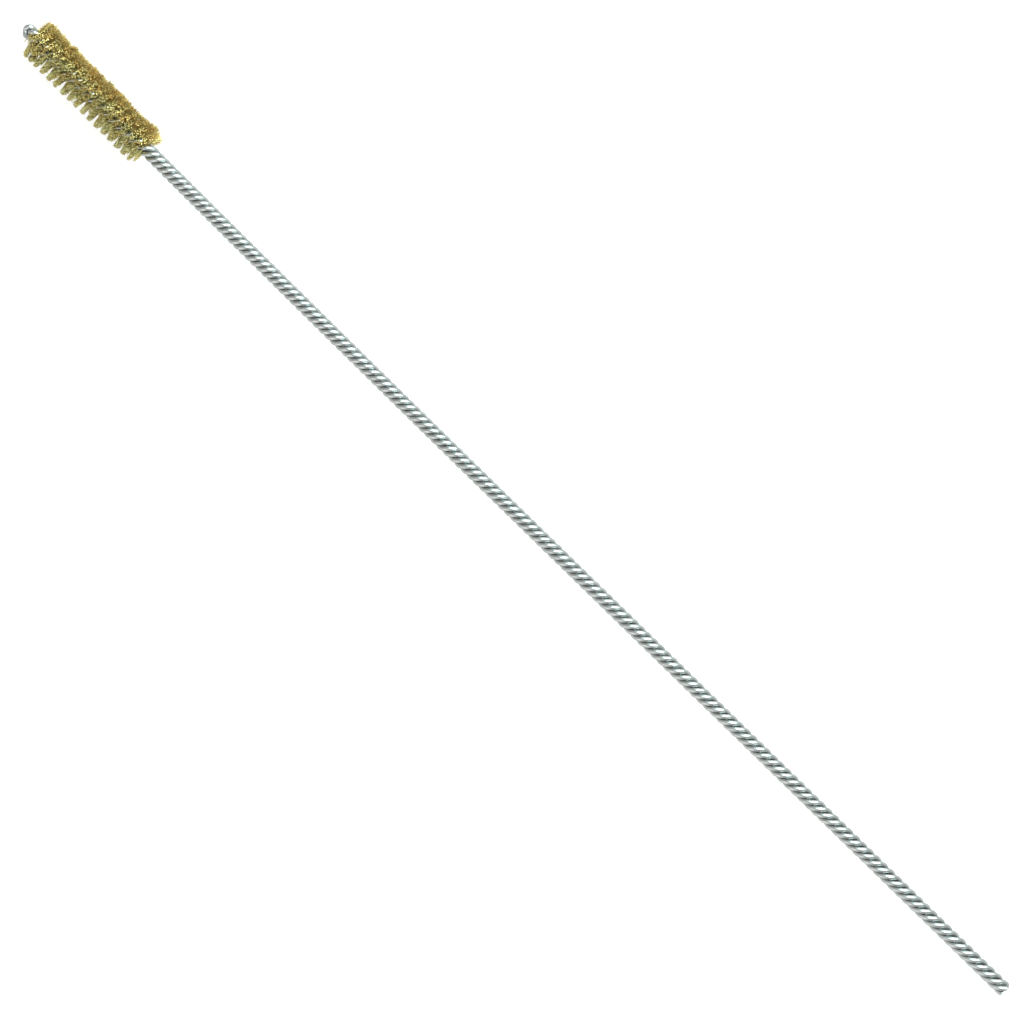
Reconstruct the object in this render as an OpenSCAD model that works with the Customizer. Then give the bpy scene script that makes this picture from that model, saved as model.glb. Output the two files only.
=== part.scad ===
// Twisted-wire brass brush for cleaning small bores and nozzle tips.
// Two steel wires, each bent double into a hairpin, cross at right angles and are twisted together.
// In the head the twist grips two crossed layers of straight brass filaments. Below it the same four
// strands go on as a bare stem, which is cut off square. Millimetres. The brush lies along +X.

/* [Overall] */
// Length of the whole brush, from the cut end of the stem to the top of the outer loop
overall_len = 152.4; // [110:0.2:190]
// Length of the head, from its first filament to the top of the outer loop
head_len = 19.4; // [12:0.05:26]
// Diameter across the tips of the longest filaments
brush_d = 4.76; // [3.6:0.02:7]

/* [Wire] */
// Diameter of the steel wire
wire_d = 0.57; // [0.4:0.01:0.66]
// Smallest gap between one strand and the next
strand_gap = 0.03; // [0.025:0.005:0.06]
// Gap between the two loops where one crosses under the other
loop_gap = 0.06; // [0.05:0.01:0.3]
// Hand of the twist
twist_hand = -1; // [-1:Left, 1:Right]
// Lay of the twist at the cut end, the length of one whole turn
lay_at_end = 4.52; // [3.6:0.01:6]
// Lay of the twist where the stem meets the head
lay_at_neck = 3.43; // [2.8:0.01:4.8]
// Lay of the twist in the head
lay_in_head = 4.21; // [3.4:0.01:5.2]
// Length over which the strands spread to the width that they have in the head
flare_len = 1.2; // [0.8:0.1:4]

/* [Filaments] */
// Diameter of one brass filament
filament_d = 0.08; // [0.06:0.01:0.14]
// Smallest gap between two filaments where their layers cross on the axis
filament_gap = 0.004; // [0.003:0.001:0.05]
// Gap between a filament and the strands that it passes between
filament_play = 0.03; // [0.015:0.005:0.05]
// How much shorter than the full diameter the shortest filament is
trim_spread = 0.12; // [0:0.01:0.4]

/* [Hidden] */
$fn = 24;
// Corners of a wire's section, and rings of corners along each turn of the twist
wire_sides = 8;
rings_per_turn = 8;
// Rings round each loop
loop_rings = 12;
// Degrees from one strand to the next
strand_step = 90;
// Successive trims follow this share of the spread, which never repeats
golden_share = 0.618034;

neck_x = overall_len - head_len;
flare_x = neck_x - flare_len;
quarter_turn = lay_in_head / 4;

// Distance between neighbouring strands on radius r, and between a strand on radius r and the
// filament beside it: the least over points that lie a degrees apart along the twist
function strand_distance(r, lay) =
    min([for (a = [0:2:80]) norm([2 * r * sin((strand_step - a) / 2), lay * a / 360])]);
function filament_distance(r, lay) =
    min([for (a = [0:2:80]) norm([r * sin(strand_step / 2 - a), lay * a / 360])]);
// Radius at which distance(r) reaches the distance wanted, found by halving
function radius_for(wanted, distance, low = 0, high = 4 * wire_d) =
    let (middle = (low + high) / 2)
    high - low < 0.0002 ? high
    : distance(middle) < wanted ? radius_for(wanted, distance, middle, high)
    : radius_for(wanted, distance, low, middle);

// Radius from the axis to a strand's centre, in the stem and in the head
tightest_lay = min(lay_at_end, lay_at_neck);
stem_r = radius_for(wire_d + strand_gap, function (r) strand_distance(r, tightest_lay));
head_r = max(stem_r,
    radius_for((wire_d + filament_d) / 2 + filament_play, function (r) filament_distance(r, lay_in_head)));

// Centres of the two loops: the inner one passes under the outer one
outer_loop_x = overall_len - wire_d / 2 - head_r;
inner_loop_x = outer_loop_x - wire_d - loop_gap;

// The filaments fill whole quarter turns from the neck to just inside the inner loop
tufts = floor((inner_loop_x + head_r / 4 - neck_x) / quarter_turn);
filaments_per_tuft = floor(quarter_turn / (2 * (filament_d + filament_gap)));
filament_pitch = quarter_turn / filaments_per_tuft;

// Degrees turned in the first x of a stretch of twist whose lay goes evenly from one value to
// another, and the way along it at which a given angle is reached
function turned(x, len, lay0, lay1) =
    abs(lay1 - lay0) < 0.001 ? 360 * x / lay0
    : 360 * len / (lay1 - lay0) * ln(1 + (lay1 - lay0) * x / (len * lay0));
function reach(angle, len, lay0, lay1) =
    abs(lay1 - lay0) < 0.001 ? lay0 * angle / 360
    : len * lay0 / (lay1 - lay0) * (exp(angle * (lay1 - lay0) / (360 * len)) - 1);

function clamp(v, low, high) = max(low, min(high, v));
function flare_at(x) = clamp((x - flare_x) / flare_len, 0, 1);
// Whole turn of the twist from the cut end to x, in degrees
function twist_at(x) =
    turned(clamp(x, 0, flare_x), flare_x, lay_at_end, lay_at_neck)
    + turned(clamp(x - flare_x, 0, flare_len), flare_len, lay_at_neck, lay_in_head)
    + 360 * max(0, x - neck_x) / lay_in_head;
function lay_at(x) =
    x < flare_x ? lay_at_end + (lay_at_neck - lay_at_end) * max(0, x) / flare_x
    : lay_at_neck + (lay_in_head - lay_at_neck) * flare_at(x);
// The strands spread over the flare on a smooth step
function strand_r(x) = stem_r + (head_r - stem_r) * pow(flare_at(x), 2) * (3 - 2 * flare_at(x));

// Stations along one leg, from the cut end to the loop's centre, evenly spaced by angle
stem_turn = turned(flare_x, flare_x, lay_at_end, lay_at_neck);
stem_steps = ceil(stem_turn * rings_per_turn / 360);
flare_steps = ceil(turned(flare_len, flare_len, lay_at_neck, lay_in_head) * rings_per_turn / 360);
function leg_stations(loop_x) =
    let (head_steps = ceil((loop_x - neck_x) / lay_in_head * rings_per_turn))
    concat(
        [for (i = [0:stem_steps - 1]) reach(stem_turn * i / stem_steps, flare_x, lay_at_end, lay_at_neck)],
        [for (i = [0:flare_steps - 1]) flare_x + flare_len * i / flare_steps],
        [for (i = [0:head_steps - 1]) neck_x + (loop_x - neck_x) * i / head_steps]);

// A hairpin's stations: up one leg, round the loop and down the other leg. Each holds its place
// along the axis, its signed distance from the axis, and how both change along the wire
function hairpin_stations(loop_x) =
    let (up = leg_stations(loop_x), last = len(up) - 1)
    concat(
        [for (x = up) [x, strand_r(x), 1, 0]],
        [for (i = [0:loop_rings]) let (u = 180 * i / loop_rings)
            [loop_x + head_r * sin(u), head_r * cos(u), cos(u), -sin(u)]],
        [for (i = [last:-1:0]) [up[i], -strand_r(up[i]), -1, 0]]);

// Corner distance of a regular section with the same area as the round wire
corner_r = wire_d / 2 * sqrt(2 * PI / (wire_sides * sin(360 / wire_sides)));

function unit(v) = v / norm(v);
// The ring of corners round one station. Rings at the cut end are drawn out to the plane x = 0
function ring(station, start_angle, cut) =
    let (x = station[0], r = station[1],
         angle = start_angle + twist_hand * twist_at(x),
         out = [0, cos(angle), sin(angle)],
         round = [0, -sin(angle), cos(angle)],
         turn_rate = twist_hand * 2 * PI / lay_at(x),
         along = unit(station[2] * [1, 0, 0] + station[3] * out + r * turn_rate * station[2] * round),
         side = unit(round - (round * along) * along),
         up = cross(along, side),
         centre = [x, 0, 0] + r * out)
    [for (k = [0:wire_sides - 1])
        let (a = 360 * k / wire_sides, p = centre + corner_r * (cos(a) * up + sin(a) * side))
        cut ? p - along * p[0] / along[0] : p];

module hairpin(loop_x, start_angle) {
    stations = hairpin_stations(loop_x);
    last = len(stations) - 1;
    points = [for (i = [0:last]) each ring(stations[i], start_angle, i == 0 || i == last)];
    faces = concat(
        [[for (k = [0:wire_sides - 1]) k]],
        [for (i = [0:last - 1], k = [0:wire_sides - 1], half = [0, 1])
            let (a = i * wire_sides + k, b = i * wire_sides + (k + 1) % wire_sides,
                 c = a + wire_sides, d = b + wire_sides)
            half == 0 ? [a, c, d] : [a, d, b]],
        [[for (k = [wire_sides - 1:-1:0]) last * wire_sides + k]]);
    polyhedron(points = points, faces = faces);
}

module outer_wire() {
    color("#b9bab4") hairpin(outer_loop_x, 0);
}

module inner_wire() {
    color("#a9aba6") hairpin(inner_loop_x, strand_step);
}

// One straight filament through the axis, halfway between two strands
module filament(x, layer, number) {
    angle = twist_hand * twist_at(x) + strand_step * (layer + 0.5);
    share = number * golden_share;
    translate([x, 0, 0])
        rotate([angle - 90, 0, 0])
            cylinder(h = brush_d - trim_spread * (share - floor(share)), d = filament_d, center = true);
}

// The filaments of one layer in one quarter turn. The two layers alternate along the axis
module tuft(layer, quarter) {
    for (k = [0:filaments_per_tuft - 1]) {
        number = quarter * filaments_per_tuft + k;
        x = neck_x + filament_pitch * (number + 0.25 + layer / 2);
        filament(x, layer, 2 * number + layer);
    }
}

LAYERS = ["a", "b"];
function tuft_name(layer, quarter) =
    str("tuft_", LAYERS[layer], quarter < 9 ? "_0" : "_", quarter + 1);

outer_wire();
inner_wire();
for (layer = [0, 1], quarter = [0:tufts - 1])
    color(layer == 0 ? "#c9a24a" : "#b58f3c") tuft(layer, quarter);
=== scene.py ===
"""Twisted-wire brass tip-cleaning brush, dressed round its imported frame.

Two galvanised steel wires are each bent double and twisted together, so that the stem is four strands
and the tip is two crossed loops. In the head the twist grips two crossed layers of brass filaments,
which stand out as four helical fins. Sizes are in millimetres, and meshes are in metres.
"""

from __future__ import annotations

import logging
import math
from collections.abc import Mapping, Sequence
from dataclasses import dataclass, field
from enum import Enum
from typing import ClassVar

import bmesh
import bpy
from mathutils import Matrix, Vector


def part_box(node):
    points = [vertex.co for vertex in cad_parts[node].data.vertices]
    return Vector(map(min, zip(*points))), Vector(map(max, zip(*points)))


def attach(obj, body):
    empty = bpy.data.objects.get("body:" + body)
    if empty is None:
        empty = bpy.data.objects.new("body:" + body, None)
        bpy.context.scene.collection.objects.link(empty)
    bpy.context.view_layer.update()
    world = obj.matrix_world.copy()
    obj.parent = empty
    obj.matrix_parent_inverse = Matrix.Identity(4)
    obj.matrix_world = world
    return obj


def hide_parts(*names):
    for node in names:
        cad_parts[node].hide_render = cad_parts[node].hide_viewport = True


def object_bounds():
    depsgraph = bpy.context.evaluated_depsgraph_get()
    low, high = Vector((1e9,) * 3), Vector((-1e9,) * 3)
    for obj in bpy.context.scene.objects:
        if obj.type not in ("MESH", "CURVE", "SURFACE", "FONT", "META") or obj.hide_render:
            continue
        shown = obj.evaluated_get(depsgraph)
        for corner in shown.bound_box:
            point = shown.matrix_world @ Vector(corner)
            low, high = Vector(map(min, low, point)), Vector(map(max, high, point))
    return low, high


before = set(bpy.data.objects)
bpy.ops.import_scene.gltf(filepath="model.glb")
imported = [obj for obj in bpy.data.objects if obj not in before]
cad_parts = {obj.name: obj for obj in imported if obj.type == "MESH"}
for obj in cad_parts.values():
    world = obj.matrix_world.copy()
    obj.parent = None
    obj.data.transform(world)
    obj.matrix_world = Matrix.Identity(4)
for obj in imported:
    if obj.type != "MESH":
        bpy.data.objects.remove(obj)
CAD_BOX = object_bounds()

MM = 0.001
FULL_TURN = 2 * math.pi
# Nearly all values of a noise texture lie between these two
NOISE_LOW, NOISE_HIGH = 0.3, 0.7
log = logging.getLogger("brush")


class Slot(Enum):
    """The record's material slots."""

    STEEL_WIRE = "steel_wire"
    BRASS_FILAMENT = "brass_filament"


class Layer(Enum):
    """The two crossed layers of filaments, by their angle from the outer wire, in quarter turns."""

    A = 0.5
    B = 1.5

    @property
    def cad_prefix(self) -> str:
        """Start of the names of the CAD nodes that this layer is made of."""
        return f"tuft_{self.name.lower()}_"


# --- Small tools -----------------------------------------------------------------------------


def linear(hex_code: str) -> tuple[float, float, float, float]:
    """Turns an sRGB colour into linear light.

    Args:
        hex_code: six hexadecimal digits, such as "c8a04b".

    Returns:
        Red, green, blue and an alpha of 1.
    """
    channels = [int(hex_code[i : i + 2], 16) / 255 for i in (0, 2, 4)]
    return (*[c / 12.92 if c <= 0.04045 else ((c + 0.055) / 1.055) ** 2.4 for c in channels], 1.0)


def add_node(
    tree: bpy.types.NodeTree, kind: str, inputs: Mapping | None = None, **settings: object
) -> bpy.types.Node:
    """Adds a node with its settings and links.

    Args:
        tree: the tree that the node is added to.
        kind: the node's type, such as "ShaderNodeMath".
        inputs: by the input's name or number, a socket to link from or a value to set.
        settings: the node's own properties.

    Returns:
        The new node.
    """
    node = tree.nodes.new(kind)
    for name, value in settings.items():
        setattr(node, name, value)
    for key, value in (inputs or {}).items():
        if isinstance(value, bpy.types.NodeSocket):
            tree.links.new(value, node.inputs[key])
        else:
            node.inputs[key].default_value = value
    return node


def new_piece(name: str, mesh: bpy.types.Mesh) -> bpy.types.Object:
    """Makes an object at the origin from a mesh whose place is in its vertices."""
    mesh.name = name
    piece = bpy.data.objects.new(name, mesh)
    bpy.context.scene.collection.objects.link(piece)
    return piece


@dataclass(frozen=True)
class Recipe:
    """A Geometry Nodes tree and the named inputs that it is run with."""

    tree: bpy.types.NodeTree
    sizes: Mapping[str, object]

    SOCKETS = {int: "NodeSocketInt", float: "NodeSocketFloat", bpy.types.Material: "NodeSocketMaterial"}

    @classmethod
    def start(cls, name: str, sizes: Mapping[str, object]) -> tuple[Recipe, bpy.types.Node]:
        """Opens a tree with one named input for each size.

        Args:
            name: the tree's name.
            sizes: each input's name and the value that it is run with.

        Returns:
            The recipe and the tree's Group Input node, whose outputs carry the sizes.
        """
        tree = bpy.data.node_groups.new(name, "GeometryNodeTree")
        tree.interface.new_socket("Geometry", in_out="INPUT", socket_type="NodeSocketGeometry")
        tree.interface.new_socket("Geometry", in_out="OUTPUT", socket_type="NodeSocketGeometry")
        for label, value in sizes.items():
            tree.interface.new_socket(label, in_out="INPUT", socket_type=cls.SOCKETS[type(value)])
        return cls(tree, sizes), add_node(tree, "NodeGroupInput")

    def close(self, geometry: bpy.types.NodeSocket) -> None:
        """Leads the finished geometry out of the tree.

        Args:
            geometry: the socket that carries it.
        """
        add_node(self.tree, "NodeGroupOutput", {0: geometry})

    def run(self, name: str, start_mesh: bpy.types.Mesh) -> bpy.types.Object:
        """Runs the tree on a mesh and keeps the result as a plain mesh.

        Args:
            name: the finished piece's name.
            start_mesh: what the tree starts from.

        Returns:
            The piece, with no modifier on it.
        """
        carrier = new_piece(f"{name}_start", start_mesh)
        modifier = carrier.modifiers.new("shape", "NODES")
        modifier.node_group = self.tree
        for item in self.tree.interface.items_tree:
            if item.in_out == "INPUT" and item.name in self.sizes:
                modifier[item.identifier] = self.sizes[item.name]
        graph = bpy.context.evaluated_depsgraph_get()
        shaped = carrier.evaluated_get(graph)
        mesh = bpy.data.meshes.new_from_object(shaped, preserve_all_data_layers=True, depsgraph=graph)
        bpy.data.objects.remove(carrier)
        bpy.data.meshes.remove(start_mesh)
        return new_piece(name, mesh)


def polyline(name: str, points: Sequence[Vector]) -> bpy.types.Mesh:
    """Makes an open chain of edges.

    Args:
        name: the mesh's name.
        points: the chain's points, in millimetres.

    Returns:
        The mesh, in metres.
    """
    mesh = bpy.data.meshes.new(name)
    edges = [(i, i + 1) for i in range(len(points) - 1)]
    mesh.from_pydata([p * MM for p in points], edges, [])
    return mesh


# --- Finishes --------------------------------------------------------------------------------


@dataclass(frozen=True)
class GalvanisedWire:
    """Bright galvanised low-carbon steel wire, drawn after its zinc bath.

    Drawing leaves fine lines along the wire and a soft bright sheen. The zinc is a little blotchy.
    """

    zinc: str = "c2c3c2"
    dull_zinc: str = "9b9d98"
    # Zinc reflects a little less where it is seen nearly edge on. This edge tint is much darker than that:
    # painted shade, standing in for the shaded floor next to the wire that the rims reflect
    rim: str = "808280"
    roughest: float = 0.41
    smoothest: float = 0.26
    # Drawing lines are about 0.01 mm apart: they are drawn at 0.05 mm, or they would not show
    line_width: float = 0.05
    line_length: float = 1.6
    line_depth: float = 0.004
    # Length of the zinc's blotches along the wire
    blotch: float = 0.7

    def build(self) -> bpy.types.Material:
        """Makes the material. It reads the wire's own straightened coordinates, in metres."""
        material = bpy.data.materials.new("galvanised_steel_wire")
        material.use_nodes = True
        tree = material.node_tree
        shader = tree.nodes["Principled BSDF"]
        straight = add_node(tree, "ShaderNodeAttribute", attribute_name="straight").outputs["Vector"]
        fine, long = 1 / (self.line_width * MM), 1 / (self.line_length * MM)
        along_lines = add_node(tree, "ShaderNodeMapping", {"Vector": straight, "Scale": (fine, fine, long)})
        lines = add_node(
            tree, "ShaderNodeTexNoise", {"Vector": along_lines.outputs[0], "Scale": 1.0, "Detail": 2.0}
        )
        blotch_scale = 1 / (self.blotch * MM)
        blotches = add_node(
            tree, "ShaderNodeTexNoise",
            {"Vector": straight, "Scale": blotch_scale, "Detail": 4.0, "Roughness": 0.6},
        )
        colour = add_node(
            tree, "ShaderNodeMix",
            {"Factor": blotches.outputs[0], 6: linear(self.zinc), 7: linear(self.dull_zinc)},
            data_type="RGBA",
        )
        tree.links.new(colour.outputs[2], shader.inputs["Base Color"])
        sheen = add_node(
            tree, "ShaderNodeMapRange",
            {0: blotches.outputs[0], 1: NOISE_LOW, 2: NOISE_HIGH, 3: self.smoothest, 4: self.roughest},
        )
        tree.links.new(sheen.outputs[0], shader.inputs["Roughness"])
        bump = add_node(
            tree, "ShaderNodeBump",
            {"Strength": 0.25, "Distance": self.line_depth * MM, "Height": lines.outputs[0]},
        )
        tree.links.new(bump.outputs[0], shader.inputs["Normal"])
        shader.inputs["Metallic"].default_value = 1.0
        # Edge tint: partly zinc's own dip, mostly painted shade on the rims
        shader.inputs["Specular Tint"].default_value = linear(self.rim)
        return material


@dataclass(frozen=True)
class ShearedSteel:
    """The wire's bare steel core where the stem was sheared off: grey, matt and drawn into streaks."""

    core: str = "8d8c88"
    smear: str = "5f5e5b"
    roughness: float = 0.45
    # Streaks are this wide, drawn this many times as long, and this deep
    streak: float = 0.06
    stretch: float = 8.0
    streak_depth: float = 0.01

    def build(self) -> bpy.types.Material:
        """Makes the material, with its shear streaks along Y."""
        material = bpy.data.materials.new("sheared_steel")
        material.use_nodes = True
        tree = material.node_tree
        shader = tree.nodes["Principled BSDF"]
        place = add_node(tree, "ShaderNodeTexCoord").outputs["Object"]
        scale = 1 / (self.streak * MM)
        stretched = add_node(
            tree, "ShaderNodeMapping", {"Vector": place, "Scale": (scale, scale / self.stretch, scale)}
        )
        streaks = add_node(
            tree, "ShaderNodeTexNoise", {"Vector": stretched.outputs[0], "Scale": 1.0, "Detail": 3.0}
        )
        colour = add_node(
            tree, "ShaderNodeMix",
            {"Factor": streaks.outputs[0], 6: linear(self.core), 7: linear(self.smear)}, data_type="RGBA",
        )
        tree.links.new(colour.outputs[2], shader.inputs["Base Color"])
        bump = add_node(
            tree, "ShaderNodeBump",
            {"Strength": 0.5, "Distance": self.streak_depth * MM, "Height": streaks.outputs[0]},
        )
        tree.links.new(bump.outputs[0], shader.inputs["Normal"])
        shader.inputs["Metallic"].default_value = 1.0
        shader.inputs["Roughness"].default_value = self.roughness
        return material


@dataclass(frozen=True)
class DrawnBrass:
    """Bright drawn brass wire of 0.08 mm, browned by use, and painted browner on one side as painted light.

    Each filament has its own shade, and all are painted darker towards the core, as painted shade. Drawing
    leaves a soft, uneven sheen.
    """

    bright: str = "f0e7c8"
    olive: str = "d0c588"
    brown: str = "ca9a4b"
    # Painted shade: the darker colour that the filaments are painted near the core, where the fins crowd
    # round the wires
    core: str = "b8b07c"
    roughest: float = 0.66
    smoothest: float = 0.48
    # Painted light: one side of the brush is painted browner and darker, the other paler; fully browner up to
    # the first Y, and not at all from the second
    painted_dark_side_to: float = -0.9
    painted_pale_side_from: float = 2.7
    # Share of the colour that is due to this painted light, and not to the filament itself
    painted_side_light_share: float = 0.48
    # The colour goes from the core's painted shade to the filament's own between these shares of the way out
    painted_shade_core_to: float = 0.15
    own_from: float = 0.75
    # Length of the die marks along a filament
    die_mark: float = 1 / 9

    def build(self) -> bpy.types.Material:
        """Makes the material. It reads each filament's own shade, and how far out a point lies."""
        material = bpy.data.materials.new("drawn_brass_filament")
        material.use_nodes = True
        tree = material.node_tree
        shader = tree.nodes["Principled BSDF"]
        shade = add_node(tree, "ShaderNodeAttribute", attribute_name="shade").outputs["Fac"]
        reach = add_node(tree, "ShaderNodeAttribute", attribute_name="reach").outputs["Fac"]
        place = add_node(tree, "ShaderNodeTexCoord").outputs["Object"]
        across = add_node(tree, "ShaderNodeSeparateXYZ", {0: place}).outputs["Y"]
        # Painted light: the side towards -Y is painted browner and darker, the side towards +Y paler
        side = add_node(
            tree, "ShaderNodeMapRange",
            {0: across, 1: self.painted_dark_side_to * MM, 2: self.painted_pale_side_from * MM, 3: 0.0, 4: 1.0},
        ).outputs[0]
        mixed = add_node(tree, "ShaderNodeMix", {0: self.painted_side_light_share, 2: shade, 3: side}).outputs[0]
        shades = add_node(tree, "ShaderNodeValToRGB", {"Fac": mixed})
        ramp = shades.color_ramp
        ramp.elements[0].color, ramp.elements[1].color = linear(self.brown), linear(self.bright)
        ramp.elements.new(0.5).color = linear(self.olive)
        # Painted shade: each filament is painted darker towards the axis
        outward = add_node(
            tree, "ShaderNodeMapRange", {0: reach, 1: self.painted_shade_core_to, 2: self.own_from, 3: 0.0, 4: 1.0}
        )
        colour = add_node(
            tree, "ShaderNodeMix",
            {"Factor": outward.outputs[0], 6: linear(self.core), 7: shades.outputs["Color"]},
            data_type="RGBA",
        )
        tree.links.new(colour.outputs[2], shader.inputs["Base Color"])
        straight = add_node(tree, "ShaderNodeAttribute", attribute_name="straight").outputs["Vector"]
        die_marks = add_node(
            tree, "ShaderNodeTexNoise", {"Vector": straight, "Scale": 1 / (self.die_mark * MM), "Detail": 2.0}
        )
        sheen = add_node(
            tree, "ShaderNodeMapRange",
            {0: die_marks.outputs[0], 1: NOISE_LOW, 2: NOISE_HIGH, 3: self.smoothest, 4: self.roughest},
        )
        tree.links.new(sheen.outputs[0], shader.inputs["Roughness"])
        shader.inputs["Metallic"].default_value = 1.0
        return material


@dataclass(frozen=True)
class BackLitSheet:
    """Matt diffusing plastic sheet, lit evenly from below, so that the brush casts next to no shadow."""

    light: str = "f4f4f2"
    glow: float = 0.95
    sheet: str = "7c7c7c"
    roughness: float = 0.7
    # The sheet's faint tooth: its grain and its depth
    grain: float = 0.4
    tooth_depth: float = 0.02

    def build(self) -> bpy.types.Material:
        """Makes the material, with the sheet's faint tooth."""
        material = bpy.data.materials.new("back_lit_sheet")
        material.use_nodes = True
        tree = material.node_tree
        shader = tree.nodes["Principled BSDF"]
        place = add_node(tree, "ShaderNodeTexCoord").outputs["Object"]
        tooth = add_node(
            tree, "ShaderNodeTexNoise", {"Vector": place, "Scale": 1 / (self.grain * MM), "Detail": 3.0}
        )
        bump = add_node(
            tree, "ShaderNodeBump",
            {"Strength": 0.05, "Distance": self.tooth_depth * MM, "Height": tooth.outputs[0]},
        )
        tree.links.new(bump.outputs[0], shader.inputs["Normal"])
        shader.inputs["Base Color"].default_value = linear(self.sheet)
        shader.inputs["Roughness"].default_value = self.roughness
        shader.inputs["Emission Color"].default_value = linear(self.light)
        shader.inputs["Emission Strength"].default_value = self.glow
        return material


# --- The twist -------------------------------------------------------------------------------


@dataclass(frozen=True)
class Twist:
    """How four strands wind round the axis, from the cut end at x = 0 to the loops. Left-handed."""

    length: float
    neck: float
    lay_at_end: float = 4.505
    lay_at_neck: float = 3.375
    lay_in_head: float = 4.21
    flare_length: float = 1.2
    stem_radius: float = 0.57
    head_radius: float = 0.565
    hand: int = -1
    # Turns already made at the cut end
    first_turn: float = -0.07
    # Round the last filament the twist springs back a little: by this many turns, from this far before
    # the tip, over this length
    spring_back: float = 0.09
    spring_start: float = 2.145
    spring_length: float = 1.3
    # Handling has bent the front half a little to one side: how far aside the tip is
    tip_drift: float = -0.58

    @staticmethod
    def _turned(x: float, length: float, lay_0: float, lay_1: float) -> float:
        """Turns made in the first x of a stretch whose lay goes evenly from one value to another.

        Args:
            x: the way into the stretch.
            length: the stretch's length.
            lay_0: the lay at its start.
            lay_1: the lay at its end.

        Returns:
            Whole turns.
        """
        growth = (lay_1 - lay_0) / length
        return math.log(1 + growth * x / lay_0) / growth

    def angle(self, x: float) -> float:
        """Angle of the first strand at x, in radians, from +Y towards +Z."""
        flare_start = self.neck - self.flare_length
        turns = self.first_turn
        stem_x = min(x, flare_start)
        if stem_x < 0:
            turns += stem_x / self.lay_at_end
        else:
            turns += self._turned(stem_x, flare_start, self.lay_at_end, self.lay_at_neck)
        flare_x = min(max(x - flare_start, 0.0), self.flare_length)
        turns += self._turned(flare_x, self.flare_length, self.lay_at_neck, self.lay_in_head)
        turns += max(0.0, x - self.neck) / self.lay_in_head
        sprung = min(max((x - self.length + self.spring_start) / self.spring_length, 0.0), 1.0)
        turns -= self.spring_back * sprung**2 * (3 - 2 * sprung)
        return self.hand * FULL_TURN * turns

    def radius(self, x: float) -> float:
        """Distance of a strand's centre from the axis at x: it spreads on a smooth step at the neck."""
        share = min(max((x - self.neck) / self.flare_length + 1, 0.0), 1.0)
        return self.stem_radius + (self.head_radius - self.stem_radius) * share**2 * (3 - 2 * share)

    def drift(self, x: float) -> float:
        """How far aside the axis is at x: nothing in the rear half, and then more and more."""
        return self.tip_drift * max(0.0, 2 * x / self.length - 1) ** 2

    def place(self, x: float, radius: float, quarter_turns: float) -> Vector:
        """Point at x on a radius, at a strand's angle plus some quarter turns."""
        angle = self.angle(x) + quarter_turns * FULL_TURN / 4
        return Vector((x, radius * math.cos(angle) + self.drift(x), radius * math.sin(angle)))


@dataclass(frozen=True)
class TwistedWire:
    """One wire of the pair: up the stem, round its loop at the tip, and back down to the cut end."""

    twist: Twist
    cad_node: str
    quarter_turns: float
    loop_depth: float
    cut_lean: tuple[float, float]
    diameter: float = 0.6
    step: float = 0.13
    loop_steps: int = 28
    sides: int = 16
    overrun: float = 0.6

    def path(self) -> list[Vector]:
        """Points along the wire's centre, running a little past the cut end at both ends."""
        loop_x = self.twist.length - self.diameter / 2 - self.twist.head_radius - self.loop_depth
        count = round((loop_x + self.overrun) / self.step)
        leg = [-self.overrun + (loop_x + self.overrun) * i / count for i in range(count)]
        up = [self.twist.place(x, self.twist.radius(x), self.quarter_turns) for x in leg]
        bend = []
        for i in range(self.loop_steps + 1):
            turn = math.pi * i / self.loop_steps
            x = loop_x + self.twist.head_radius * math.sin(turn)
            bend.append(self.twist.place(x, self.twist.head_radius * math.cos(turn), self.quarter_turns))
        down = [self.twist.place(x, -self.twist.radius(x), self.quarter_turns) for x in reversed(leg)]
        return up + bend + down

    def build(self, zinc: bpy.types.Material, core: bpy.types.Material) -> bpy.types.Object:
        """Sweeps the wire along its path and shears off its two ends.

        Args:
            zinc: the finish of the wire.
            core: the finish of its sheared ends.

        Returns:
            The finished piece.
        """
        recipe, sizes = Recipe.start(
            "wire_along_path",
            {"Diameter": self.diameter * MM, "Sides": self.sides, "Finish": zinc},
        )
        sweep = swept_round_wire(recipe.tree, sizes, sizes.outputs["Geometry"])
        recipe.close(sweep)
        wire = recipe.run(f"twisted_{self.cad_node}", polyline(self.cad_node, self.path()))
        wire.data.materials.append(core)
        self._shear(wire.data)
        return wire

    def _shear(self, mesh: bpy.types.Mesh) -> None:
        """Cuts each leg off at the stem's end, with its own slight lean, and closes the cut.

        Args:
            mesh: the wire's mesh, which is changed.
        """
        work = bmesh.new()
        work.from_mesh(mesh)
        for side, lean in zip((1, -1), self.cut_lean):
            leg_out = self.twist.place(0, side, self.quarter_turns)
            normal = Vector((1, 0, 0)) + lean * leg_out
            near = [f for f in work.faces if f.calc_center_median().x < self.overrun * MM]
            near = [f for f in near if f.calc_center_median().dot(leg_out) > 0]
            edges = {e for f in near for e in f.edges}
            corners = {v for f in near for v in f.verts}
            cut = bmesh.ops.bisect_plane(
                work, geom=[*near, *edges, *corners], plane_co=(0, 0, 0), plane_no=normal, clear_inner=True
            )
            rim = [e for e in cut["geom_cut"] if isinstance(e, bmesh.types.BMEdge)]
            for face in bmesh.ops.edgeloop_fill(work, edges=rim)["faces"]:
                face.material_index = 1
                face.smooth = False
                if face.normal.x > 0:
                    face.normal_flip()
        work.to_mesh(mesh)
        work.free()


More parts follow.
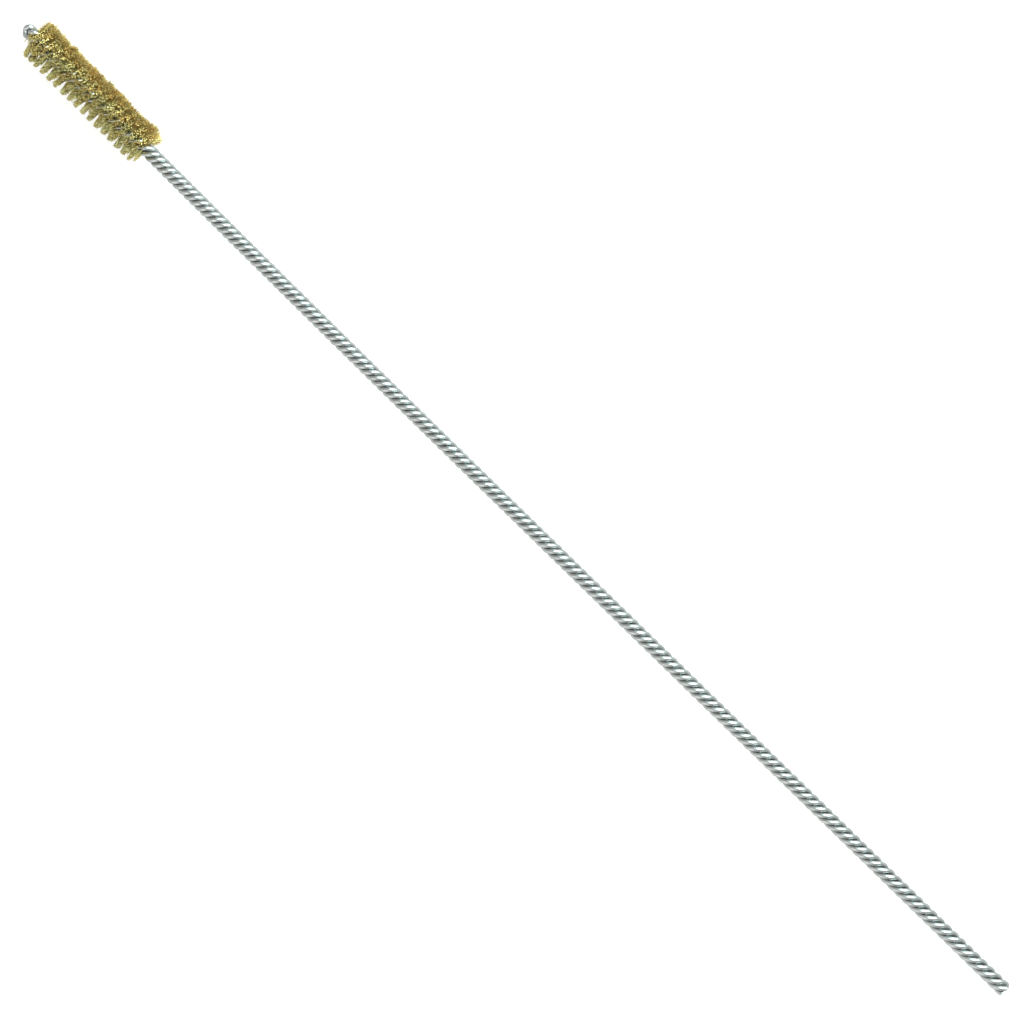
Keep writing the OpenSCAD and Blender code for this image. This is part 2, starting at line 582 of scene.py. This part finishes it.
def swept_round_wire(
    tree: bpy.types.NodeTree, sizes: bpy.types.Node, path: bpy.types.NodeSocket, is_curve: bool = False
) -> bpy.types.NodeSocket:
    """Adds the nodes that sweep a round wire along a path and store its straightened coordinates.

    Args:
        tree: the tree that they are added to.
        sizes: its Group Input, with Diameter, Sides and Finish.
        path: the path, as edges or as a curve.
        is_curve: whether the path is a curve already.

    Returns:
        The finished geometry. Its point attribute "straight" holds the place in the wire's section
        and the length along it, all in metres.
    """
    if not is_curve:
        path = add_node(tree, "GeometryNodeMeshToCurve", {"Mesh": path}).outputs[0]
    along = add_node(tree, "GeometryNodeSplineParameter").outputs["Length"]
    kept_path = add_node(tree, "GeometryNodeCaptureAttribute", {"Geometry": path}, domain="POINT")
    kept_path.capture_items.new("FLOAT", "Along")
    tree.links.new(along, kept_path.inputs["Along"])
    radius = add_node(tree, "ShaderNodeMath", {0: sizes.outputs["Diameter"], 1: 0.5}, operation="MULTIPLY")
    ring = add_node(
        tree, "GeometryNodeCurvePrimitiveCircle",
        {"Resolution": sizes.outputs["Sides"], "Radius": radius.outputs[0]},
    )
    kept_ring = add_node(tree, "GeometryNodeCaptureAttribute", {"Geometry": ring.outputs[0]}, domain="POINT")
    kept_ring.capture_items.new("VECTOR", "Section")
    tree.links.new(add_node(tree, "GeometryNodeInputPosition").outputs[0], kept_ring.inputs["Section"])
    tube = add_node(
        tree, "GeometryNodeCurveToMesh",
        {"Curve": kept_path.outputs[0], "Profile Curve": kept_ring.outputs[0], "Fill Caps": True},
    )
    lengthwise = add_node(tree, "ShaderNodeCombineXYZ", {"Z": kept_path.outputs["Along"]})
    straight = add_node(
        tree, "ShaderNodeVectorMath",
        {0: kept_ring.outputs["Section"], 1: lengthwise.outputs[0]}, operation="ADD",
    )
    stored = add_node(
        tree, "GeometryNodeStoreNamedAttribute",
        {"Geometry": tube.outputs[0], "Name": "straight", "Value": straight.outputs[0]},
        data_type="FLOAT_VECTOR", domain="POINT",
    )
    smooth = add_node(tree, "GeometryNodeSetShadeSmooth", {"Geometry": stored.outputs[0]})
    real = add_node(tree, "GeometryNodeRealizeInstances", {"Geometry": smooth.outputs[0]})
    finish = {"Geometry": real.outputs[0], "Material": sizes.outputs["Finish"]}
    return add_node(tree, "GeometryNodeSetMaterial", finish).outputs[0]


# --- The bristles ----------------------------------------------------------------------------


@dataclass(frozen=True)
class FilamentLayer:
    """One layer of filaments through the twist, bent at their ends, which makes two of the four fins."""

    # Added to the seed, so that each kind of chance has numbers of its own
    SECOND_DRAW: ClassVar[float] = 3.0
    SHADE_DRAW: ClassVar[float] = 7.0
    STRAY_DRAW: ClassVar[float] = 19.0

    twist: Twist
    layer: Layer
    first_x: float
    last_x: float
    brush_diameter: float
    seed: int
    # A little thicker than the real 0.08 mm, so that fewer fill the fins
    diameter: float = 0.09
    pitch: float = 0.0075
    sides: int = 5
    joints: int = 7
    # Neighbours cling together: this many have this share of their bend and of their shade in common
    clump: int = 18
    clump_share: float = 0.45
    place_jitter: float = 0.04
    stack: float = 0.05
    angle_jitter: float = math.radians(7)
    lean_jitter: float = math.radians(2)
    trim: float = 0.009
    # Ends on the brush's worn side are bent further out of line than on the other
    bend: float = 0.62
    tidy_share: float = 0.08
    # A stray is bent further still, and the higher the power, the fewer there are
    stray_bend: float = 0.4
    stray_power: float = 6.0
    # The last filaments are swept back a little towards the stem
    sweep: float = 0.6
    sweep_length: float = 2.6
    # The first ones are pushed towards the tip on one side, and half as far towards the stem on the other
    neck_sweep: float = 0.5
    neck_sweep_length: float = 0.9
    far_side_share: float = -0.5

    def build(self, brass: bpy.types.Material) -> bpy.types.Object:
        """Runs the tree that sets the filaments along the twist.

        Args:
            brass: the filaments' finish.

        Returns:
            The finished piece.
        """
        turn_rate = self.twist.hand * FULL_TURN / (self.twist.lay_in_head * MM)
        angle_at_neck = self.twist.angle(self.twist.neck) + self.layer.value * FULL_TURN / 4
        count = round((self.last_x - self.first_x) / self.pitch)
        recipe, sizes = Recipe.start(
            "filaments_through_twist",
            {
                "Filaments": count,
                "First Filament": self.first_x * MM,
                "Pitch": self.pitch * MM,
                "Turn Rate": turn_rate,
                "Angle at Origin": angle_at_neck - turn_rate * self.twist.neck * MM - FULL_TURN / 4,
                "Length": self.brush_diameter * MM,
                "Diameter": self.diameter * MM,
                "Sides": self.sides,
                "Points": self.joints,
                "Clump": self.clump,
                "Clump Share": self.clump_share,
                "Place Jitter": self.place_jitter * MM,
                "Stack": self.stack * MM,
                "Angle Jitter": self.angle_jitter,
                "Lean Jitter": self.lean_jitter,
                "Trim": self.trim,
                "Bend": self.bend * MM,
                "Stray Bend": self.stray_bend * MM,
                "Stray Power": self.stray_power,
                "Tidy Share": self.tidy_share,
                "Sweep": -self.sweep * MM,
                "Sweep Start": (self.last_x - self.sweep_length) * MM,
                "Sweep End": self.last_x * MM,
                "Neck Sweep": self.neck_sweep * MM,
                "Far Side Share": self.far_side_share,
                "Neck": self.twist.neck * MM,
                "Neck End": (self.twist.neck + self.neck_sweep_length) * MM,
                "Radius": self.brush_diameter / 2 * MM,
                "Brush Length": self.twist.length * MM,
                "Tip Drift": self.twist.tip_drift * MM,
                "Seed": self.seed,
                "Finish": brass,
            },
        )
        tree, size = recipe.tree, sizes.outputs
        chance = self._chance(tree, size)
        filaments = self._set_along_twist(tree, size, chance)
        bent = self._bend(tree, size, filaments)
        recipe.close(swept_round_wire(tree, sizes, bent, is_curve=True))
        return recipe.run(f"filament_layer_{self.layer.name.lower()}", bpy.data.meshes.new("start"))

    @staticmethod
    def _chance(tree: bpy.types.NodeTree, size: bpy.types.NodeOutputs) -> bpy.types.NodeOutputs:
        """Adds three random numbers from -2 to 2 for each filament, mostly near 0.

        Args:
            tree: the tree that they are added to.
            size: its named inputs.

        Returns:
            The three numbers' sockets.
        """
        second_seed = add_node(
            tree, "ShaderNodeMath", {0: size["Seed"], 1: FilamentLayer.SECOND_DRAW}, operation="ADD"
        ).outputs[0]
        first, second = [
            add_node(
                tree, "FunctionNodeRandomValue", {0: (-1, -1, -1), 1: (1, 1, 1), "Seed": seed},
                data_type="FLOAT_VECTOR",
            )
            for seed in (size["Seed"], second_seed)
        ]
        both = add_node(
            tree, "ShaderNodeVectorMath", {0: first.outputs[0], 1: second.outputs[0]}, operation="ADD"
        )
        return add_node(tree, "ShaderNodeSeparateXYZ", {0: both.outputs[0]}).outputs

    @staticmethod
    def _set_along_twist(
        tree: bpy.types.NodeTree, size: bpy.types.NodeOutputs, chance: bpy.types.NodeOutputs
    ) -> bpy.types.NodeSocket:
        """Adds the nodes that stand straight filaments across the axis, each at the strands' angle.

        Args:
            tree: the tree that they are added to.
            size: its named inputs.
            chance: three random numbers for each filament.

        Returns:
            The filaments, as curves with the attributes "number" and "shade".
        """
        index = add_node(tree, "GeometryNodeInputIndex").outputs[0]
        even = add_node(
            tree, "ShaderNodeMath",
            {0: index, 1: size["Pitch"], 2: size["First Filament"]}, operation="MULTIPLY_ADD",
        )
        along = add_node(
            tree, "ShaderNodeMath", {0: chance["X"], 1: size["Place Jitter"], 2: even.outputs[0]},
            operation="MULTIPLY_ADD",
        )
        twist = add_node(
            tree, "ShaderNodeMath", {0: along.outputs[0], 1: size["Turn Rate"], 2: size["Angle at Origin"]},
            operation="MULTIPLY_ADD",
        )
        angle = add_node(
            tree, "ShaderNodeMath", {0: chance["Y"], 1: size["Angle Jitter"], 2: twist.outputs[0]},
            operation="MULTIPLY_ADD",
        )
        lean = add_node(
            tree, "ShaderNodeMath", {0: chance["Z"], 1: size["Lean Jitter"]}, operation="MULTIPLY"
        )
        line = add_node(tree, "GeometryNodeMeshLine", {"Count": size["Filaments"], "Offset": (0, 0, 0)})
        spot = add_node(tree, "ShaderNodeCombineXYZ", {"X": along.outputs[0]})
        points = add_node(
            tree, "GeometryNodeSetPosition", {"Geometry": line.outputs[0], "Position": spot.outputs[0]}
        )
        number = add_node(
            tree, "GeometryNodeStoreNamedAttribute",
            {"Geometry": points.outputs[0], "Name": "number", "Value": index},
            data_type="INT", domain="POINT",
        )
        shade_seed = add_node(
            tree, "ShaderNodeMath", {0: size["Seed"], 1: FilamentLayer.SHADE_DRAW}, operation="ADD"
        )
        shade = add_node(
            tree, "FunctionNodeRandomValue",
            {2: 0.0, 3: 1.0, "Seed": shade_seed.outputs[0]}, data_type="FLOAT",
        ).outputs[1]
        clump = add_node(tree, "ShaderNodeMath", {0: index, 1: size["Clump"]}, operation="SNAP").outputs[0]
        clump_shade = add_node(
            tree, "FunctionNodeRandomValue", {2: 0.0, 3: 1.0, "ID": clump, "Seed": shade_seed.outputs[0]},
            data_type="FLOAT",
        ).outputs[1]
        mixed = add_node(tree, "ShaderNodeMix", {0: size["Clump Share"], 2: shade, 3: clump_shade}).outputs[0]
        shaded = add_node(
            tree, "GeometryNodeStoreNamedAttribute",
            {"Geometry": number.outputs[0], "Name": "shade", "Value": mixed},
            data_type="FLOAT", domain="POINT",
        )
        half = add_node(tree, "ShaderNodeMath", {0: size["Length"], 1: 0.5}, operation="MULTIPLY").outputs[0]
        low_half = add_node(tree, "ShaderNodeMath", {0: half, 1: -1.0}, operation="MULTIPLY").outputs[0]
        bottom = add_node(tree, "ShaderNodeCombineXYZ", {"Z": low_half})
        top = add_node(tree, "ShaderNodeCombineXYZ", {"Z": half})
        straight = add_node(
            tree, "GeometryNodeCurvePrimitiveLine", {"Start": bottom.outputs[0], "End": top.outputs[0]}
        )
        jointed = add_node(
            tree, "GeometryNodeResampleCurve", {"Curve": straight.outputs[0], "Count": size["Points"]}
        )
        round_axis = add_node(
            tree, "FunctionNodeAxisAngleToRotation", {"Axis": (1, 0, 0), "Angle": angle.outputs[0]}
        )
        leaning = add_node(
            tree, "FunctionNodeAxisAngleToRotation", {"Axis": (0, 1, 0), "Angle": lean.outputs[0]}
        )
        turned = add_node(
            tree, "FunctionNodeRotateRotation", {0: round_axis.outputs[0], 1: leaning.outputs[0]},
            rotation_space="LOCAL",
        )
        longest = add_node(
            tree, "ShaderNodeMath", {0: size["Trim"], 1: -2.0, 2: 1.0}, operation="MULTIPLY_ADD"
        )
        cut = add_node(
            tree, "ShaderNodeMath", {0: chance["X"], 1: size["Trim"], 2: longest.outputs[0]},
            operation="MULTIPLY_ADD",
        )
        scale = add_node(tree, "ShaderNodeCombineXYZ", {"X": 1.0, "Y": 1.0, "Z": cut.outputs[0]})
        stood = add_node(
            tree, "GeometryNodeInstanceOnPoints",
            {
                "Points": shaded.outputs[0], "Instance": jointed.outputs[0],
                "Rotation": turned.outputs[0], "Scale": scale.outputs[0],
            },
        )
        aside = add_node(tree, "ShaderNodeMath", {0: chance["Z"], 1: size["Stack"]}, operation="MULTIPLY")
        shift = add_node(tree, "ShaderNodeCombineXYZ", {"Y": aside.outputs[0]})
        stacked = add_node(
            tree, "GeometryNodeTranslateInstances",
            {"Instances": stood.outputs[0], "Translation": shift.outputs[0]},
        )
        return add_node(tree, "GeometryNodeRealizeInstances", {"Geometry": stacked.outputs[0]}).outputs[0]

    @staticmethod
    def _bend(
        tree: bpy.types.NodeTree, size: bpy.types.NodeOutputs, filaments: bpy.types.NodeSocket
    ) -> bpy.types.NodeSocket:
        """Adds the nodes that bend each end, sweep the first and last ones and follow the bent axis.

        Args:
            tree: the tree that they are added to.
            size: its named inputs.
            filaments: straight filaments, as curves.

        Returns:
            The bent filaments, with the attribute "reach": 0 at the axis and 1 at the ends.
        """
        factor = add_node(tree, "GeometryNodeSplineParameter").outputs["Factor"]
        signed = add_node(
            tree, "ShaderNodeMath", {0: factor, 1: 2.0, 2: -1.0}, operation="MULTIPLY_ADD"
        ).outputs[0]
        reach = add_node(tree, "ShaderNodeMath", {0: signed}, operation="ABSOLUTE").outputs[0]
        kept = add_node(
            tree, "GeometryNodeStoreNamedAttribute", {"Geometry": filaments, "Name": "reach", "Value": reach},
            data_type="FLOAT", domain="POINT",
        ).outputs[0]
        number = add_node(
            tree, "GeometryNodeInputNamedAttribute", {"Name": "number"}, data_type="INT"
        ).outputs[0]
        far_end = add_node(tree, "ShaderNodeMath", {0: signed, 1: 0.0}, operation="GREATER_THAN").outputs[0]
        end_number = add_node(
            tree, "ShaderNodeMath", {0: number, 1: 2.0, 2: far_end}, operation="MULTIPLY_ADD"
        ).outputs[0]
        own_way = add_node(
            tree, "FunctionNodeRandomValue",
            {0: (-1, -0.5, -0.5), 1: (1, 0.5, 0.5), "ID": end_number, "Seed": size["Seed"]},
            data_type="FLOAT_VECTOR",
        ).outputs[0]
        clump = add_node(tree, "ShaderNodeMath", {0: number, 1: size["Clump"]}, operation="SNAP").outputs[0]
        clump_end = add_node(
            tree, "ShaderNodeMath", {0: clump, 1: 2.0, 2: far_end}, operation="MULTIPLY_ADD"
        ).outputs[0]
        clump_way = add_node(
            tree, "FunctionNodeRandomValue",
            {0: (-1, -0.5, -0.5), 1: (1, 0.5, 0.5), "ID": clump_end, "Seed": size["Seed"]},
            data_type="FLOAT_VECTOR",
        ).outputs[0]
        way = add_node(
            tree, "ShaderNodeMix", {0: size["Clump Share"], 4: own_way, 5: clump_way}, data_type="VECTOR"
        ).outputs[1]
        squared = add_node(tree, "ShaderNodeMath", {0: reach, 1: 2.0}, operation="POWER").outputs[0]
        stray_seed = add_node(
            tree, "ShaderNodeMath", {0: size["Seed"], 1: FilamentLayer.STRAY_DRAW}, operation="ADD"
        )
        luck = add_node(
            tree, "FunctionNodeRandomValue",
            {2: 0.0, 3: 1.0, "ID": end_number, "Seed": stray_seed.outputs[0]},
            data_type="FLOAT",
        ).outputs[1]
        rare = add_node(
            tree, "ShaderNodeMath", {0: luck, 1: size["Stray Power"]}, operation="POWER"
        ).outputs[0]
        bent = add_node(
            tree, "ShaderNodeMath",
            {0: rare, 1: size["Stray Bend"], 2: size["Bend"]}, operation="MULTIPLY_ADD",
        ).outputs[0]
        position = add_node(tree, "GeometryNodeInputPosition").outputs[0]
        place = add_node(tree, "ShaderNodeSeparateXYZ", {0: position}).outputs
        tidy_side = add_node(
            tree, "ShaderNodeMath", {0: place["Y"], 1: place["Z"]}, operation="SUBTRACT"
        ).outputs[0]
        ruffled = add_node(
            tree, "ShaderNodeMapRange",
            {0: tidy_side, 1: 0.0, 2: size["Radius"], 3: 1.0, 4: size["Tidy Share"]},
        ).outputs[0]
        share = add_node(tree, "ShaderNodeMath", {0: squared, 1: ruffled}, operation="MULTIPLY").outputs[0]
        amount = add_node(tree, "ShaderNodeMath", {0: share, 1: bent}, operation="MULTIPLY").outputs[0]
        strayed = add_node(
            tree, "ShaderNodeVectorMath", {0: way, "Scale": amount}, operation="SCALE"
        ).outputs[0]
        along = place["X"]
        near_tip = add_node(
            tree, "ShaderNodeMapRange",
            {0: along, 1: size["Sweep Start"], 2: size["Sweep End"], 3: 0.0, 4: size["Sweep"]},
            interpolation_type="SMOOTHSTEP",
        ).outputs[0]
        swept = add_node(tree, "ShaderNodeMath", {0: near_tip, 1: squared}, operation="MULTIPLY").outputs[0]
        near_neck = add_node(
            tree, "ShaderNodeMapRange",
            {0: along, 1: size["Neck"], 2: size["Neck End"], 3: size["Neck Sweep"], 4: 0.0},
        ).outputs[0]
        low_side = add_node(
            tree, "ShaderNodeMath", {0: size["Radius"], 1: -1.0}, operation="MULTIPLY"
        ).outputs[0]
        one_side = add_node(
            tree, "ShaderNodeMapRange",
            {0: place["Y"], 1: low_side, 2: size["Radius"], 3: size["Far Side Share"], 4: 1.0},
        ).outputs[0]
        swept = add_node(
            tree, "ShaderNodeMath", {0: near_neck, 1: one_side, 2: swept}, operation="MULTIPLY_ADD"
        ).outputs[0]
        half = add_node(
            tree, "ShaderNodeMath", {0: size["Brush Length"], 1: 0.5}, operation="MULTIPLY"
        ).outputs[0]
        front = add_node(
            tree, "ShaderNodeMapRange", {0: along, 1: half, 2: size["Brush Length"], 3: 0.0, 4: 1.0}
        ).outputs[0]
        front_squared = add_node(tree, "ShaderNodeMath", {0: front, 1: 2.0}, operation="POWER").outputs[0]
        drift = add_node(
            tree, "ShaderNodeMath", {0: front_squared, 1: size["Tip Drift"]}, operation="MULTIPLY"
        ).outputs[0]
        shared = add_node(tree, "ShaderNodeCombineXYZ", {"X": swept, "Y": drift}).outputs[0]
        offset = add_node(tree, "ShaderNodeVectorMath", {0: strayed, 1: shared}, operation="ADD").outputs[0]
        return add_node(tree, "GeometryNodeSetPosition", {"Geometry": kept, "Offset": offset}).outputs[0]


# --- The whole brush -------------------------------------------------------------------------


@dataclass
class Brush:
    """The two twisted wires and the two layers of filaments."""

    length: float
    neck: float
    last_filament: float
    diameter: float
    # Bare twist between the neck and the first filament
    neck_gap: float = 0.2
    pieces: list[bpy.types.Object] = field(default_factory=list)

    @classmethod
    def from_frame(cls) -> Brush:
        """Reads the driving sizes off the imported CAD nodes."""
        tufts = [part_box(name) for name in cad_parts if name.startswith("tuft_")]
        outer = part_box("outer_wire")[1]
        return cls(
            length=outer.x / MM,
            neck=min(low.x for low, _ in tufts) / MM,
            last_filament=max(high.x for _, high in tufts) / MM,
            diameter=2 * max(high.z for _, high in tufts) / MM,
        )

    def build(self) -> None:
        """Builds every piece and ties it to the frame."""
        twist = Twist(length=self.length, neck=self.neck)
        zinc, core, brass = GalvanisedWire().build(), ShearedSteel().build(), DrawnBrass().build()
        wires = (
            TwistedWire(twist, "outer_wire", quarter_turns=1, loop_depth=0.0, cut_lean=(0.05, -0.12)),
            TwistedWire(twist, "inner_wire", quarter_turns=2, loop_depth=0.64, cut_lean=(0.16, 0.02)),
        )
        for wire in wires:
            self._tie(wire.build(zinc, core), [wire.cad_node])
        for layer, seed in ((Layer.A, 3), (Layer.B, 11)):
            filaments = FilamentLayer(
                twist, layer, first_x=self.neck + self.neck_gap, last_x=self.last_filament,
                brush_diameter=self.diameter, seed=seed,
            )
            nodes = sorted(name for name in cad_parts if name.startswith(layer.cad_prefix))
            self._tie(filaments.build(brass), nodes)

    def _tie(self, piece: bpy.types.Object, nodes: Sequence[str]) -> None:
        """Makes a piece ride on the frame in the place of its CAD nodes, and reports it.

        Args:
            piece: the finished piece.
            nodes: the CAD nodes that it stands for.
        """
        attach(piece, "root")
        if nodes:
            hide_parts(*nodes)
        self.pieces.append(piece)
        log.info("%s: %d faces, replaces %d CAD nodes", piece.name, len(piece.data.polygons), len(nodes))


# --- Studio ----------------------------------------------------------------------------------


@dataclass(frozen=True)
class Softbox:
    """A square diffused lamp that faces the middle of the brush."""

    name: str
    bearing: float
    height: float
    distance: float
    size: float
    watts: float
    colour: str = "ffffff"

    def build(self, target: Vector) -> bpy.types.Object:
        """Hangs the lamp at its bearing from +X towards +Y and its height above the floor, in degrees.

        Args:
            target: the point that it faces, in metres.

        Returns:
            The lamp.
        """
        lamp = bpy.data.lights.new(self.name, "AREA")
        lamp.shape = "SQUARE"
        lamp.size = self.size * MM
        lamp.energy = self.watts
        lamp.color = linear(self.colour)[:3]
        lift = Matrix.Rotation(-math.radians(self.height), 3, "Y")
        out = Matrix.Rotation(math.radians(self.bearing), 3, "Z") @ lift
        away = out @ Vector((1, 0, 0))
        stand = bpy.data.objects.new(self.name, lamp)
        stand.location = target + away * self.distance * MM
        stand.rotation_mode = "QUATERNION"
        stand.rotation_quaternion = (-away).to_track_quat("-Z", "Y")
        bpy.context.scene.collection.objects.link(stand)
        return stand


@dataclass(frozen=True)
class Studio:
    """Floor, lamps, surroundings and camera."""

    target: Vector
    floor_z: float
    # The camera looks straight down from this height over the middle of the brush
    camera_height: float = 280.0
    # Width of what it sees at the height of the brush's axis
    seen_width: float = 113.6
    # The brush runs from upper left to lower right, this far from level
    brush_slope: float = 44.28
    framing: tuple[float, float] = (-0.04, -0.23)
    sensor: float = 36.0
    floor_size: float = 6000.0
    surroundings: float = 0.61
    boxes: tuple[Softbox, ...] = (
        Softbox("key_softbox", bearing=-95, height=57, distance=420, size=320, watts=5.0, colour="dcfafd"),
        Softbox("fill_softbox", bearing=85, height=30, distance=500, size=480, watts=0.9),
    )

    def build(self) -> None:
        """Builds the floor, the lamps, the surroundings and the camera."""
        self._floor()
        for box in self.boxes:
            box.build(self.target)
        self._surroundings()
        self._camera()
        bpy.context.scene.view_settings.view_transform = "Standard"

    def _floor(self) -> None:
        """Lays the sheet that the brush lies on."""
        half = self.floor_size * MM / 2
        mesh = bpy.data.meshes.new("floor")
        corners = [(x * half, y * half, self.floor_z) for x, y in ((-1, -1), (1, -1), (1, 1), (-1, 1))]
        mesh.from_pydata(corners, [], [(0, 1, 2, 3)])
        mesh.materials.append(BackLitSheet().build())
        new_piece("floor", mesh)

    def _surroundings(self) -> None:
        """Fills the room with even soft light."""
        world = bpy.data.worlds.new("surroundings")
        world.use_nodes = True
        background = world.node_tree.nodes["Background"]
        background.inputs["Color"].default_value = linear("ffffff")
        background.inputs["Strength"].default_value = self.surroundings
        bpy.context.scene.world = world

    def _camera(self) -> None:
        """Hangs the camera over the brush, turned so that the tip is at the upper left."""
        slope = math.radians(self.brush_slope)
        right = Vector((-math.cos(slope), -math.sin(slope), 0))
        up = Vector((math.sin(slope), -math.cos(slope), 0))
        lens = bpy.data.cameras.new("camera")
        lens.sensor_width = self.sensor
        lens.lens = self.sensor * self.camera_height / self.seen_width
        lens.clip_start, lens.clip_end = 0.01, 10.0
        camera = bpy.data.objects.new("camera", lens)
        aside = right * self.framing[0] * MM + up * self.framing[1] * MM
        camera.location = self.target + aside + Vector((0, 0, self.camera_height * MM))
        camera.rotation_mode = "QUATERNION"
        camera.rotation_quaternion = Matrix((right, up, (0, 0, 1))).transposed().to_quaternion()
        bpy.context.scene.collection.objects.link(camera)
        bpy.context.scene.camera = camera


def main() -> None:
    """Builds the brush and its studio."""
    logging.basicConfig(level=logging.INFO, format="%(name)s: %(message)s")
    brush = Brush.from_frame()
    brush.build()
    Studio(target=Vector((brush.length / 2 * MM, 0, 0)), floor_z=CAD_BOX[0].z).build()


if __name__ == "__main__":
    main()
